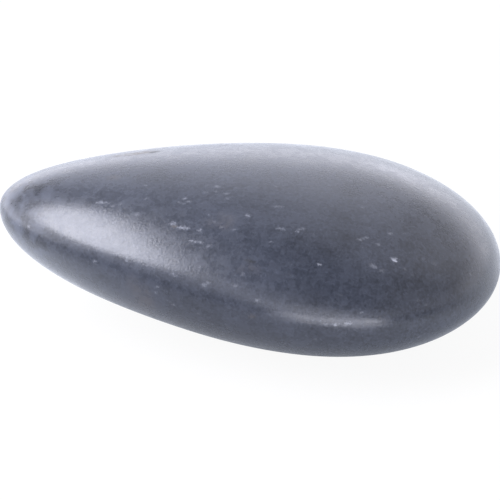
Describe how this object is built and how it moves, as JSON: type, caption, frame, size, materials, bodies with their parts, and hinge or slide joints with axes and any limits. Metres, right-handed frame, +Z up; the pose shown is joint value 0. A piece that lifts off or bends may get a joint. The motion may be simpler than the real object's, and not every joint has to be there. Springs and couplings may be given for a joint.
{
  "type": "river pebble",
  "caption": "A smooth, dark blue-grey river pebble, egg-shaped with a narrower nose, lying on a worn flat underside.",
  "frame": {"origin": "under the middle of the stone's box, on the surface that it lies on", "axes": "+X runs along the stone from its narrow nose to its blunt end, +Z is up and along its thickness"},
  "size_m": [0.104, 0.0686, 0.0334],
  "materials": {
    "stone": "satin, worn smooth by water"
  },
  "bodies": {
    "root": {"pebble": "stone"}
  },
  "joints": []
}
